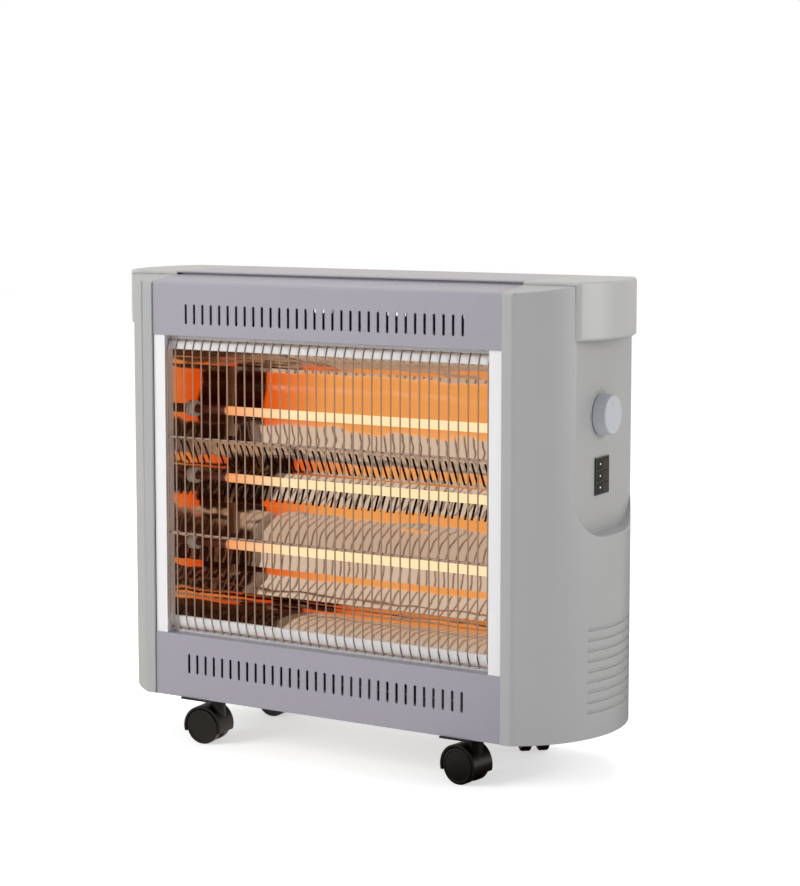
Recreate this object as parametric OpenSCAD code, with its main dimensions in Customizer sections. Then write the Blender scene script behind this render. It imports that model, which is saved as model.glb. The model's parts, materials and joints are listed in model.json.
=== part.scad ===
// Halogen heater: three lamps in a polished trough behind a wire guard, in a steel body
// between two bowed plastic side casings, on four twin-wheel castors.
// Millimetres. X points right, Y to the back, Z up; the origin is on the floor under the middle.

/* [Body] */
// Width of the steel body between the side casings
front_w = 438; // [420:1:520]
// Depth over the edges of the side casings
body_d = 234; // [226:1:280]
// Height of the underside above the floor
base_z = 60; // [57:1:90]
// Height of the lower front panel
lower_panel_h = 71; // [60:1:110]
// Height of the lamp window
window_h = 335; // [325:1:400]
// Height of the upper front panel, up to the shoulder
upper_panel_h = 59; // [50:1:90]
// Rise of the sloping shoulder from the front face to the middle
crown_h = 6; // [3:0.5:10]
// Half the depth of the flat middle of the top
crown_half_d = 68; // [50:1:74]
// Height of the raised top panel and handle caps
cap_h = 4; // [3:0.5:8]
// How far the panels sit behind the edges of the casings
panel_setback = 2; // [1:0.5:4]
// Thickness of the panels' steel sheet
sheet_t = 1.2; // [0.8:0.1:1.6]
// Radius of the fold at the shoulder
shoulder_r = 2.5; // [2:0.5:6]
// Thickness of the top panel's folded edge
hem_t = 2; // [1.6:0.1:2.4]
// How far the top panel's edge overhangs its feet
hem_w = 6; // [4:0.5:9]
// Depth of the bosses for the casing screws behind the casings' edges
boss_in = 32; // [28:1:40]

/* [Panel slots] */
// Number of slots in a row
slot_n = 32; // [20:1:34]
// Spacing of the slots
slot_pitch = 11.2; // [9:0.1:12]
// Width of a slot
slot_w = 3.1; // [2:0.1:4]
// Height of a slot
slot_h = 22; // [14:1:30]

/* [Window] */
// Width of the bright strip on each side of the window
strip_w = 15; // [11:0.5:20]
// Thickness of the polished sheet
polish_t = 0.8; // [0.5:0.1:1]
// Number of upright guard wires
wire_n = 36; // [24:1:40]
// Diameter of the upright guard wires
wire_d = 1.8; // [1.4:0.1:2.4]
// Diameter of the cross wires
cross_wire_d = 2.4; // [2:0.1:3]
// Number of cross wires
cross_wire_n = 4; // [3:1:6]
// Height over which the wires lean back at their ends
crank_h = 13; // [9:0.5:16]
// How far the wires lean back at their ends
crank_d = 5; // [3:0.5:6]

/* [Reflector] */
// Depth from the front face to the deepest folds
trough_d = 103; // [90:1:112]
// How far the two ridges stand forward of the deepest folds
ridge_d = 19; // [14:1:24]
// Half the height of the slotted middle fold
ridge_half_h = 36; // [31:0.5:38]
// Radius of the two hollow troughs
trough_r = 100; // [90:1:140]
// Depth from the front face to the reflector's upright lips
lip_set = 14; // [12:0.5:18]
// Spacing of the reflector's air slots
air_pitch = 8.1; // [7:0.1:12]
// Width of an air slot
air_w = 2.8; // [2:0.1:3.5]

/* [Lamps] */
// Spacing of the lamps
lamp_pitch = 76; // [70:1:82]
// Distance of the lamps' axes behind the front face
lamp_depth = 55; // [45:1:62]
// Outer diameter of the quartz tubes
tube_d = 10; // [9:0.5:13]
// Wall of the quartz tubes
tube_wall = 1; // [0.8:0.1:1.4]
// Diameter of the wound filament
filament_d = 4; // [3:0.5:6]
// Diameter of the ceramic end caps
lamp_cap_d = 18; // [15:0.5:20]
// Length of the ceramic end caps
lamp_cap_l = 25; // [20:1:30]

/* [Side casings] */
// Width of a casing, from the body to the top of its bow
casing_w = 78.8; // [68:0.2:90]
// Width of the flat edge beside the front panels
flange_w = 14; // [10:0.5:18]
// Drop from the flat edge to the bow
flange_step = 2.6; // [1.5:0.1:4]
// Wall of the casings
wall = 2.5; // [2:0.1:3.5]
// Depth of the flat recess below the top of the bow
recess_d = 18.8; // [15:0.2:22]
// Height of the recess's lower edge above the underside
recess_h = 210.5; // [196:0.5:220]
// Corner radius of the recess
recess_r = 42; // [25:1:50]
// Number of louvres
louvre_n = 9; // [5:1:10]
// Spacing of the louvres
louvre_pitch = 10.85; // [9:0.05:12]
// Height of the lowest louvre above the underside
louvre_h0 = 28; // [20:1:40]
// Height of a louvre's groove
louvre_w = 3.2; // [2:0.1:4]
// Depth of a louvre's groove
louvre_d = 1.4; // [0.8:0.1:1.8]
// Length of a louvre along the depth of the body
louvre_l = 88; // [60:1:100]

/* [Handle caps] */
// How far a handle cap stands out from the casing
grip_out = 4; // [2:0.5:8]
// How far a handle cap reaches past the top panel's edges, front and rear
grip_over = 1; // [0.5:0.5:3]
// Height of the handle caps' outer wall
grip_h = 60.5; // [40:0.5:70]
// Thickness of the handle caps' outer wall
grip_t = 3.5; // [2.5:0.1:3.9]

/* [Controls] */
// Distance of the controls in front of the casing's middle
control_y = 8; // [0:1:16]
// Diameter of the thermostat knob
knob_d = 44; // [30:1:46]
// How far the knob stands out
knob_l = 15.6; // [10:0.2:20]
// Height of the knob's axis above the underside
knob_h = 335; // [322:1:350]
// Diameter of the thermostat's shaft
shaft_d = 6; // [5:0.5:8]
// Width of the switch block, along the depth of the body
switch_w = 33; // [29:0.5:40]
// Distance of the switch block in front of the casing's middle
switch_y = 5.5; // [0:0.5:14]
// Height of a rocker
rocker_h = 10.4; // [8:0.1:12]
// Wall between the rockers
switch_wall = 2; // [1.5:0.1:3]
// How far the switch block stands out of the recess
switch_out = 1.5; // [1:0.5:4]
// Wall of the switch body behind its block's rim
switch_rim = 1; // [0.8:0.1:1.4]
// Drop from the knob's axis to the middle of the switch block
switch_drop = 64.5; // [58:0.5:72]
// Angle by which a rocker leans at rest
rocker_lean = 7; // [4:0.5:9]

/* [Castors] */
// Diameter of the wheels
wheel_d = 40; // [36:0.5:41]
// Width of one wheel
wheel_w = 10.5; // [8:0.5:13]
// Thickness of the web between the wheels
web_t = 9.4; // [8:0.2:12]
// Diameter of the wheels' axle
axle_d = 5; // [3:0.5:6]
// Distance of the axle from the swivel axis
trail = 12; // [6:0.5:14]
// Thickness of the hood over the wheels
hood_t = 2.7; // [2:0.1:3]
// Gap between the wheels and the hood
hood_gap = 0.8; // [0.5:0.1:1.2]
// Diameter of the swivel stem
stem_d = 8; // [6:0.5:10]
// Distance of the castors from the sides of the steel body
castor_side_in = 53; // [44:1:66]
// Distance of the castors from the casings' front and rear edges
castor_end_in = 46; // [42:1:56]
// Width of the rail that carries two castors
rail_w = 36; // [28:1:44]
// Thickness of the castor rails
rail_t = 2; // [1.5:0.1:3]
// Distance of the rail bolts from the casings' front and rear edges
bolt_end_in = 17; // [14:1:20]

/* [Fan] */
// Diameter over the fan's blades
fan_d = 130; // [90:1:150]
// Number of blades
blade_n = 5; // [4:1:7]
// Depth of the blades along the axis
blade_l = 22; // [14:1:28]
// Diameter of the fan's shaft
fan_shaft_d = 5; // [3:0.5:5]
// Diameter of the fan's hub
hub_d = 32; // [26:1:44]
// Diameter of the fan's motor
motor_d = 58; // [50:1:66]
// Length of the fan's motor
motor_l = 32; // [26:1:36]
// Width of a side frame's foot on the base pan
frame_foot = 12; // [8:1:20]
// How far the louvres of the fan's vent reach into the body
vent_louvre_d = 4; // [2.5:0.5:8]
// Height of the fan's bracket
bracket_h = 28; // [20:1:40]
// Width of the fan's bracket between its feet
bracket_w = 144; // [130:1:180]
// Length of a foot of the bracket
bracket_foot = 16; // [12:1:24]

/* [Connections] */
// Number of terminals
pole_n = 5; // [3:1:6]
// Spacing of the terminals
pole_pitch = 10; // [8:0.5:12]
// Height of the terminal block
block_h = 16; // [14:1:20]
// Width of the tip-over switch
tilt_w = 40; // [30:1:46]
// Depth of the tip-over switch
tilt_d = 26; // [20:1:30]
// Height of the tip-over switch
tilt_h = 28; // [20:1:34]

/* [Cord inlet] */
// Bore of the cord gland
gland_bore_d = 8; // [6:0.5:9]
// Distance of the gland from the side of the steel body
gland_in = 69; // [60:1:110]
// Height of the gland's axis above the underside
gland_h = 36; // [24:1:60]

/* [Clearances] */
// Radial clearance of a shaft that turns in a bore
running = 0.05; // [0.02:0.01:0.09]
// Gap between neighbouring pieces
gap = 0.3; // [0.2:0.05:0.4]

/* [Hidden] */

$fn = 64;
eps = 1;

// Levels and faces of the body
panel_y = body_d / 2 - panel_setback;
inner_y = panel_y - sheet_t;
panel_half_w = front_w / 2 - gap;
window_z0 = base_z + lower_panel_h;
window_z1 = window_z0 + window_h;
window_z = (window_z0 + window_z1) / 2;
window_half_w = front_w / 2 - strip_w;
shoulder_z = window_z1 + upper_panel_h;
crown_z = shoulder_z + crown_h;
top_z = crown_z + cap_h;
crown_slope = atan(crown_h / (panel_y - crown_half_d));
seam = 0.8;
tuck = 6;

// Bow of the side casings: an arc through the flat edges and the top of the bow
casing_x = front_w / 2;
bow_chord = body_d / 2 - flange_step;
bow_h = casing_w - flange_w;
bow_r = (bow_chord * bow_chord + bow_h * bow_h) / (2 * bow_h);
bow_x = casing_x + casing_w - bow_r;
recess_x = casing_x + casing_w - recess_d;
recess_z = base_z + recess_h;
recess_half_d = sqrt(bow_r * bow_r - pow(recess_x - bow_x, 2));
grip_z = top_z - grip_h;
grip_half_d = crown_half_d + grip_over;

// Lamps and reflector
lamp_y = -panel_y + lamp_depth;
lamp_z = window_z + 4.5;
fold_y = -panel_y + trough_d;
ridge_y = fold_y - ridge_d;
fold_z = lamp_z + 2;
trough_z = lamp_pitch + 4;
trough_y = ridge_y - sqrt(trough_r * trough_r - pow(trough_z - ridge_half_h, 2));
lip_y = -panel_y + lip_set;
lip_end = lip_y + polish_t;
plate_x = window_half_w - gap;
frame_x = panel_half_w - sheet_t;
cap_end_x = panel_half_w + 5.3;
cap_start_x = cap_end_x - lamp_cap_l;
tube_half_l = cap_start_x + 6;

// Controls on the right casing
knob_z = base_z + knob_h;
switch_z = knob_z - switch_drop;
switch_block_h = 3 * rocker_h + 4 * switch_wall;
rocker_pitch = rocker_h + switch_wall;
rocker_l = switch_w - 2 * switch_wall;
pivot_x = recess_x + switch_out - 3;
pivot_d = 3;
pin_half = switch_block_h / 2 - switch_rim - 0.5;
switch_depth = 20;
thermostat_d = 30;
thermostat_l = 20;
bush_d = 10;

// Castors
wheel_r = wheel_d / 2;
hood_r = wheel_r + hood_gap + hood_t;
collar_z = wheel_d + hood_gap;
rail_z = base_z - rail_t;
collar_d = stem_d + 10;
castor_x = front_w / 2 - castor_side_in;
castor_y = body_d / 2 - castor_end_in;
bolt_y = body_d / 2 - bolt_end_in;
castor_half_w = web_t / 2 + gap + wheel_w;
FL = [-1, -1, 5];
FR = [1, -1, -10];
RL = [-1, 1, 0];
RR = [1, 1, 310];

// Fan
fan_z = fold_z;
motor_y1 = inner_y - 14;
motor_y0 = motor_y1 - motor_l;
impeller_y0 = motor_y0 - 8 - blade_l;

gland_x = front_w / 2 - gland_in;

// Screws
screw_d = 3.4;
screw_hole = 3.6;
head_d = 7;
head_h = 1.8;
screw_x = panel_half_w - 6;
panel_screw_z = [base_z + 45, window_z, shoulder_z - 30];
boss_d = 9;
boss_y = body_d / 2 - boss_in;
boss_yz = [for (s = [-1, 1], z = [base_z + 30, shoulder_z - 40]) [s * boss_y, z]];

// ---------- helpers ----------

// A box from its lowest to its highest corner
module box(lo, hi) {
    translate(lo) cube(hi - lo);
}

// A flat outline drawn in (y, z), carried from x0 to x1
module along_x(x0, x1) {
    translate([x0, 0, 0]) rotate([90, 0, 90]) linear_extrude(x1 - x0) children();
}

// A flat outline drawn in (x, z), carried from y0 to y1
module along_y(y0, y1) {
    translate([0, y1, 0]) rotate([90, 0, 0]) linear_extrude(y1 - y0) children();
}

// A round rod along X or Y
module rod_x(x0, x1, y, z, d) {
    translate([x0, y, z]) rotate([0, 90, 0]) cylinder(d = d, h = x1 - x0);
}
module rod_y(y0, y1, x, z, d) {
    translate([x, y0, z]) rotate([-90, 0, 0]) cylinder(d = d, h = y1 - y0);
}

// The left copy of a right-hand piece
module on_left() {
    mirror([1, 0, 0]) children();
}

// Points of an arc
function arc(c, r, a0, a1, n) =
    [for (i = [0:n]) let (a = a0 + (a1 - a0) * i / n) c + r * [cos(a), sin(a)]];

// Outline of a sheet folded along a path; t above 0 lies to the left of the path
function side_of(a, b) = [a[1] - b[1], b[0] - a[0]] / norm(b - a);
function before(p, i) = side_of(p[max(i, 1) - 1], p[max(i, 1)]);
function after(p, i) = side_of(p[min(i, len(p) - 2)], p[min(i, len(p) - 2) + 1]);
function beside(p, i, t) = p[i] + (before(p, i) + after(p, i)) * t / (1 + before(p, i) * after(p, i));
function sheet(p, t) = concat(p, [for (i = [len(p) - 1:-1:0]) beside(p, i, t)]);

// Half of the shoulder in (y, z), from the front face over to the seam of the top panel
function slope_z(y) = crown_z - (abs(y) - crown_half_d) * tan(crown_slope);
function fold_c(e, r) = [r - e, slope_z(r - e) - r / cos(crown_slope)];
function shoulder(e, r, d) = arc(fold_c(e, r), r - d, 180, 90 + crown_slope, 8);
shoulder_path = concat(
    shoulder(panel_y, shoulder_r, 0),
    [[-crown_half_d - seam, crown_z - seam * tan(crown_slope)],
     [-crown_half_d, crown_z - 1], [10 - crown_half_d, crown_z - 1]]);

// A row of upright slots, as an outline in (x, z)
module slot_row(n, pitch, w, h, z) {
    for (i = [0:n - 1]) translate([(i - (n - 1) / 2) * pitch, z]) {
        square([w, h - w], center = true);
        for (s = [-1, 1]) translate([0, s * (h - w) / 2]) circle(d = w);
    }
}

// ---------- panels and frame ----------

module upper_front_panel() {
    lip_x = window_half_w - 1;
    color("#A8A6B0") {
        difference() {
            along_x(-panel_half_w, panel_half_w)
                polygon(sheet(concat([[-panel_y, window_z1]], shoulder_path), -sheet_t));
            along_y(-panel_y - eps, -inner_y + eps)
                slot_row(slot_n, slot_pitch, slot_w, slot_h, window_z1 + 24);
        }
        box([-lip_x, -inner_y - sheet_t / 2, window_z1], [lip_x, lip_end, window_z1 + sheet_t]);
    }
}

module lower_front_panel() {
    lip_x = window_half_w - 1;
    color("#98939C") {
        along_y(-panel_y, -inner_y) difference() {
            translate([-panel_half_w, base_z]) square([2 * panel_half_w, lower_panel_h]);
            slot_row(slot_n, slot_pitch, slot_w, slot_h, base_z + 38.7);
        }
        box([-lip_x, -inner_y - sheet_t / 2, window_z0 - sheet_t], [lip_x, lip_end, window_z0]);
    }
}

// Its folded edges overhang the feet, which leaves a narrow shadow line above the front panel
module top_panel() {
    y = crown_half_d;
    foot = y - hem_w;
    half = [[foot - sheet_t, top_z - sheet_t], [foot - sheet_t, crown_z - 1], [foot, crown_z - 1],
            [foot, top_z - hem_t], [y, top_z - hem_t], [y, top_z - 0.6], [y - 0.6, top_z]];
    color("#B4B2B8") along_x(-panel_half_w, panel_half_w)
        polygon(concat(half, [for (i = [len(half) - 1:-1:0]) [-half[i][0], half[i][1]]]));
}

// Round field of horizontal slots behind the fan, each row in two halves; grown by t
module fan_vent(t) {
    for (i = [-6:6]) {
        l = 2 * sqrt(pow(fan_d / 2, 2) - pow(i * 9, 2)) - 8;
        for (s = [-1, 1]) translate([s * (l / 4 + 1.5), fan_z + i * 9])
            square([l / 2 - 3 + 2 * t, 4 + 2 * t], center = true);
    }
}

// The fan's slots have louvres pressed inwards, which open downwards
module rear_panel() {
    louvre_y = inner_y - vent_louvre_d;
    color("#A4A2AA") difference() {
        union() {
            along_x(-panel_half_w, panel_half_w) mirror([1, 0])
                polygon(sheet(concat([[-panel_y, base_z]], shoulder_path), -sheet_t));
            along_y(louvre_y, inner_y + sheet_t / 2) fan_vent(sheet_t);
        }
        along_y(louvre_y + sheet_t, panel_y + eps) fan_vent(0);
        along_y(louvre_y + sheet_t, inner_y) translate([0, -sheet_t - 0.2]) fan_vent(0);
        along_y(inner_y - eps, panel_y + eps) {
            slot_row(slot_n, slot_pitch, slot_w, slot_h, window_z1 + 24);
            slot_row(21, slot_pitch, slot_w, slot_h, base_z + 38);
            translate([gland_x, base_z + gland_h]) circle(d = gland_bore_d + 4 + 2 * running);
            for (s = [-1, 1], z = panel_screw_z) translate([s * screw_x, z]) circle(d = screw_hole);
        }
    }
}

module base_pan() {
    path = [[-inner_y, base_z + 12], [-inner_y, base_z], [inner_y, base_z], [inner_y, base_z + 12]];
    color("#8E8E90") difference() {
        along_x(-frame_x, frame_x) polygon(sheet(path, sheet_t));
        for (s = [-1, 1], e = [-1, 1])
            translate([s * castor_x, e * bolt_y, base_z - eps])
                cylinder(d = screw_hole, h = sheet_t + 2 * eps);
        for (x = [-4:4], y = [-18, 18])
            translate([30 * x, y, base_z - eps]) linear_extrude(sheet_t + 2 * eps)
                square([18, 4], center = true);
    }
}

// Upright plate beside each end of the lamps, with flanges behind the front strip and rear panel
module side_frame() {
    drop = sheet_t + 1.3;
    front = -inner_y + polish_t;
    plate = [[front, base_z + sheet_t], [front, shoulder_z - shoulder_r - drop],
             [front + shoulder_r, slope_z(front) - drop], [-crown_half_d, crown_z - drop - 1],
             [crown_half_d, crown_z - drop - 1], [inner_y - shoulder_r, slope_z(front) - drop],
             [inner_y, shoulder_z - shoulder_r - drop], [inner_y, base_z + sheet_t]];
    flange_x = plate_x + polish_t + gap;
    flange_z0 = base_z + 13;
    flange_z1 = shoulder_z - shoulder_r - drop;
    color("#A9ABAD") difference() {
        union() {
            along_x(frame_x, panel_half_w) difference() {
                polygon(plate);
                translate([30, window_z]) square([70, 120], center = true);
            }
            box([flange_x, front, flange_z0], [panel_half_w, front + sheet_t, flange_z1]);
            box([flange_x, inner_y - sheet_t, flange_z0], [panel_half_w, inner_y, flange_z1]);
            box([frame_x - frame_foot, 20 - inner_y, base_z + sheet_t],
                [panel_half_w, inner_y - 20, base_z + 2 * sheet_t]);
        }
        for (i = [-1:1])
            rod_x(frame_x - eps, panel_half_w + eps, lamp_y, lamp_z + i * lamp_pitch,
                  lamp_cap_d + 2 * running);
        for (z = panel_screw_z) rod_y(inner_y - 5, inner_y + eps, screw_x, z, screw_hole);
        for (p = boss_yz) rod_x(frame_x - eps, panel_half_w + eps, p[0], p[1], screw_hole);
    }
}

// ---------- side casings and handles ----------

// Plan outline of a right casing
module casing_plan() {
    e = body_d / 2;
    polygon([[casing_x, -e], [casing_x + flange_w - 2, -e], [casing_x + flange_w, -bow_chord],
             [casing_x + flange_w, bow_chord], [casing_x + flange_w - 2, e], [casing_x, e]]);
    intersection() {
        translate([bow_x, 0]) circle(r = bow_r, $fn = 180);
        translate([casing_x + flange_w - 1, -bow_chord]) square([casing_w, 2 * bow_chord]);
    }
}

// Inside of that outline, open towards the body
module casing_hollow() {
    intersection() {
        translate([bow_x, 0]) circle(r = bow_r - wall, $fn = 180);
        translate([casing_x - eps, wall - body_d / 2]) square([casing_w, body_d - 2 * wall]);
    }
}

// Side outline of the casings in (y, z): level in the middle, sloping to rounded shoulders
module crown_outline(inset) {
    e = body_d / 2;
    half = shoulder(e, shoulder_r + 2, inset);
    n = len(half) - 1;
    m = crown_z - inset;
    polygon(concat([[inset - e, base_z + inset]], half, [[-crown_half_d, m], [crown_half_d, m]],
                   [for (i = [n:-1:0]) [-half[i][0], half[i][1]]], [[e - inset, base_z + inset]]));
}

// The flat recess for the hand and the controls; grown by t it also clears the wall behind it
module recess(t) {
    r = recess_r + t;
    half = recess_half_d + 1 + t;
    z0 = recess_z - t;
    along_x(recess_x - t, casing_x + casing_w + 20) {
        translate([-half, z0 + r]) square([2 * half, top_z - z0]);
        translate([r - half, z0]) square([2 * (half - r), r + 1]);
        for (s = [-1, 1]) translate([s * (half - r), z0 + r]) circle(r = r);
    }
}

module louvres() {
    a = asin(louvre_l / 2 / bow_r);
    for (i = [0:louvre_n - 1])
        translate([bow_x, 0, base_z + louvre_h0 + i * louvre_pitch]) rotate(-a - asin(control_y / bow_r))
            rotate_extrude(angle = 2 * a, $fn = 180)
                translate([bow_r - louvre_d, -louvre_w / 2]) square([louvre_d + 2, louvre_w]);
}

module side_casing() {
    difference() {
        intersection() {
            translate([0, 0, base_z]) linear_extrude(top_z) casing_plan();
            along_x(casing_x - eps, casing_x + casing_w + eps) crown_outline(0);
        }
        difference() {
            intersection() {
                translate([0, 0, base_z]) linear_extrude(top_z) casing_hollow();
                along_x(casing_x - eps, casing_x + casing_w + eps) crown_outline(wall);
            }
            recess(wall);
            for (p = boss_yz) rod_x(casing_x, casing_x + casing_w, p[0], p[1], boss_d);
        }
        recess(0);
        louvres();
        for (p = boss_yz) rod_x(casing_x - eps, casing_x + 14, p[0], p[1], screw_hole);
    }
}

module right_side_casing() {
    color("#AEB0B2") difference() {
        side_casing();
        rod_x(recess_x - 2 * wall, recess_x + eps, -control_y, knob_z, bush_d + 2 * running);
        translate([0, -switch_y, switch_z]) along_x(recess_x - 2 * wall, recess_x + eps)
            square([switch_w, switch_block_h] - 2 * [1, 1] * (switch_rim - gap), center = true);
    }
}

module left_side_casing() {
    color("#AEB0B2") on_left() side_casing();
}

module grip_plan(r) {
    intersection() {
        translate([bow_x, 0]) circle(r = r, $fn = 180);
        translate([casing_x, -grip_half_d]) square([casing_w + 20, 2 * grip_half_d]);
    }
}

// A lid over the casing's middle with a wall hanging in front of the recess, closed at both ends
module handle_cap() {
    y = grip_half_d - grip_t;
    color("#BCBEBC") {
        translate([0, 0, crown_z]) linear_extrude(cap_h) grip_plan(bow_r + grip_out);
        translate([0, 0, grip_z]) linear_extrude(crown_z - grip_z) difference() {
            grip_plan(bow_r + grip_out);
            intersection() {
                translate([bow_x, 0]) circle(r = bow_r + grip_out - grip_t, $fn = 180);
                translate([casing_x, -y]) square([casing_w + 20, 2 * y]);
            }
            translate([casing_x - eps, -y - 20]) square([recess_x + running - casing_x + eps, 2 * (y + 20)]);
        }
    }
}

// ---------- window: reflector, lamps and guard ----------

// The folds of the reflector in (y, z), from its lower lip up
function trough(s, end) = arc([trough_y, fold_z + s * trough_z], trough_r,
    s * -asin((trough_z - ridge_half_h) / trough_r),
    s * asin((s * (end - fold_z) - trough_z) / trough_r), 9);
lower_trough = trough(-1, window_z0 + 66);
reflector_path = concat(
    [[lip_y, window_z0], [lip_y, window_z0 + 17], [fold_y - 28, window_z0 + 38]],
    [for (i = [len(lower_trough) - 1:-1:0]) lower_trough[i]], [[fold_y, fold_z]], trough(1, window_z1 - 53),
    [[fold_y - 18, window_z1 - 40], [lip_y, window_z1 - 16], [lip_y, window_z1]]);

module reflector() {
    air_h = ridge_half_h - 9;
    air_n = floor((2 * plate_x - 8) / air_pitch);
    color("#E4E2E0") difference() {
        along_x(-plate_x + 0.1, plate_x - 0.1) polygon(sheet(reflector_path, -polish_t));
        for (s = [-1, 1]) along_y(ridge_y - 5, fold_y + 5)
            for (i = [0:air_n - 1])
                translate([(i - (air_n - 1) / 2) * air_pitch, fold_z + s * (4 + air_h / 2)])
                    square([air_w, air_h], center = true);
    }
}

module end_plate() {
    path = [[panel_half_w, -inner_y], [plate_x, -inner_y], [plate_x, fold_y + 6]];
    color("#ECECEC") difference() {
        translate([0, 0, window_z0 - tuck]) linear_extrude(window_h + 2 * tuck) polygon(sheet(path, -polish_t));
        for (i = [-1:1])
            rod_x(plate_x - eps, plate_x + 3, lamp_y, lamp_z + i * lamp_pitch, lamp_cap_d + 2 * running);
        for (i = [0:cross_wire_n - 1])
            rod_x(plate_x - eps, plate_x + 3, cross_pos(i)[0], cross_pos(i)[1],
                  cross_wire_d + 2 * running);
    }
}

// An upright wire, its two ends cranked back
module upright(x) {
    bend = wire_end - crank_h;
    over = 0.35;
    translate([x, wire_y, window_z - bend - over]) cylinder(d = wire_d, h = 2 * (bend + over));
    for (s = [-1, 1]) translate([x, wire_y, window_z + s * bend])
        rotate([s > 0 ? -crank_a : 180 + crank_a, 0, 0])
            translate([0, 0, -over]) cylinder(d = wire_d, h = norm([crank_d, crank_h]) + over);
}

// Heights of the cross wires and how far each stands behind the straight part of the uprights
wire_end = window_h / 2 - 4;
crank_a = atan(crank_d / crank_h);
wire_y = -inner_y + 0.9 + wire_d / 2;
cross_off = (wire_d + cross_wire_d) / 2 + 0.02;
cross_z = wire_end - 1 - cross_off * sin(crank_a);
cross_y = wire_y + crank_d - tan(crank_a) + cross_off * cos(crank_a);
function cross_at(i) = 2 * i / (cross_wire_n - 1) - 1;
function cross_pos(i) = abs(cross_at(i)) == 1
    ? [cross_y, window_z + cross_at(i) * cross_z]
    : [wire_y + cross_off, window_z + cross_at(i) * cross_z];

module guard_grille() {
    half = plate_x - 1;
    pitch = 2 * (half - wire_d / 2) / (wire_n - 1);
    color("#D9D9DB") {
        for (i = [0:wire_n - 1]) upright((i - (wire_n - 1) / 2) * pitch);
        for (i = [0:cross_wire_n - 1])
            rod_x(-plate_x - 3, plate_x + 3, cross_pos(i)[0], cross_pos(i)[1], cross_wire_d);
    }
}

module lamp_tube(i) {
    z = lamp_z + i * lamp_pitch;
    color("#FFD9A0") difference() {
        rod_x(-tube_half_l, tube_half_l, lamp_y, z, tube_d);
        rod_x(-tube_half_l - eps, tube_half_l + eps, lamp_y, z, tube_d - 2 * tube_wall);
    }
}

module filament_coils() {
    color("#FFB050") for (i = [-1:1])
        rod_x(-tube_half_l, tube_half_l, lamp_y, lamp_z + i * lamp_pitch, filament_d);
}

module lamp_caps() {
    color("#E8E2D6") for (i = [-1:1]) difference() {
        rod_x(cap_start_x, cap_end_x, lamp_y, lamp_z + i * lamp_pitch, lamp_cap_d);
        rod_x(cap_start_x - eps, tube_half_l, lamp_y, lamp_z + i * lamp_pitch, tube_d);
    }
}

// Channel over the ends of the lamp caps, outside the side frame
module lamp_holder() {
    w = lamp_cap_d / 2 + 7;
    h = lamp_pitch + lamp_cap_d;
    x = cap_end_x + sheet_t;
    path = [[panel_half_w, lamp_y - w], [x, lamp_y - w], [x, lamp_y + w], [panel_half_w, lamp_y + w]];
    color("#B8BABC") difference() {
        translate([0, 0, lamp_z - h]) linear_extrude(2 * h) polygon(sheet(path, sheet_t));
        for (i = [-1:1]) rod_x(x - 3, x + eps, lamp_y, lamp_z + i * lamp_pitch, 5);
    }
}

// ---------- controls ----------

module thermostat_body() {
    x1 = recess_x - wall;
    color("#3A3A3C") difference() {
        union() {
            rod_x(x1 - thermostat_l, x1, -control_y, knob_z, thermostat_d);
            rod_x(x1 - 1, recess_x + 1.5, -control_y, knob_z, bush_d);
            for (s = [-1, 1])
                box([x1 - thermostat_l - 8, s * 8 - 3 - control_y, knob_z - 0.5],
                    [x1 - thermostat_l + 1, s * 8 + 3 - control_y, knob_z + 0.5]);
        }
        rod_x(x1 - 12, recess_x + 3, -control_y, knob_z, shaft_d + 2 * running);
    }
}

module thermostat_shaft() {
    color("#C0C0C2") rod_x(recess_x - wall - 10, recess_x + knob_l - 4, -control_y, knob_z, shaft_d);
}

module thermostat_knob() {
    x0 = 0.8;
    r = knob_d / 2;
    color("#AEB0B4") translate([recess_x, -control_y, knob_z]) rotate([0, 90, 0]) difference() {
        rotate_extrude() polygon(concat(
            [[0, x0], [r - 1, x0], [r, x0 + 1]],
            arc([r - 3.2, knob_l - 2.4], 2, 0, 90, 6),
            [[r - 4.2, knob_l - 0.4], [r - 4.2, knob_l], [0, knob_l]]));
        translate([0, 0, x0 - eps]) cylinder(d = shaft_d, h = knob_l - 4 - x0 + eps);
        translate([0, 0, x0 - eps]) cylinder(d = bush_d + 2, h = 3 + eps);
        translate([-r + 5, -0.6, knob_l - 0.6]) cube([9, 1.2, 2]);
    }
}

module switch_housing() {
    y = switch_w / 2;
    h = switch_block_h / 2;
    x = recess_x + switch_out;
    color("#1C1C1E") translate([0, -switch_y, switch_z]) difference() {
        union() {
            box([recess_x, -y, -h], [x, y, h]);
            box([recess_x - switch_depth, switch_rim - y, switch_rim - h],
                [recess_x + eps, y - switch_rim, h - switch_rim]);
        }
        for (z = [-rocker_pitch, 0, rocker_pitch])
            box([pivot_x - 6, -rocker_l / 2, z - rocker_h / 2], [x + eps, rocker_l / 2, z + rocker_h / 2]);
        translate([pivot_x, 0, -pin_half]) cylinder(d = pivot_d, h = 2 * pin_half);
    }
}

module rocker_pin() {
    color("#C0C0C2") translate([pivot_x, -switch_y, switch_z - pin_half])
        cylinder(d = pivot_d, h = 2 * pin_half);
}

module rocker(i) {
    l = rocker_l / 2 - 0.8;
    f = switch_out - (pivot_x - recess_x) + 0.6;
    h = rocker_h - 2 * gap;
    color("#232325") translate([pivot_x, -switch_y, switch_z + i * rocker_pitch - h / 2])
        rotate(-rocker_lean) linear_extrude(h) difference() {
            polygon([[f, 0], [f - 1, l], [-1, l], [-3.2, 6], [-3.2, -6], [-1, -l], [f - 1, -l]]);
            circle(d = pivot_d + 2 * running);
        }
}

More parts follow.
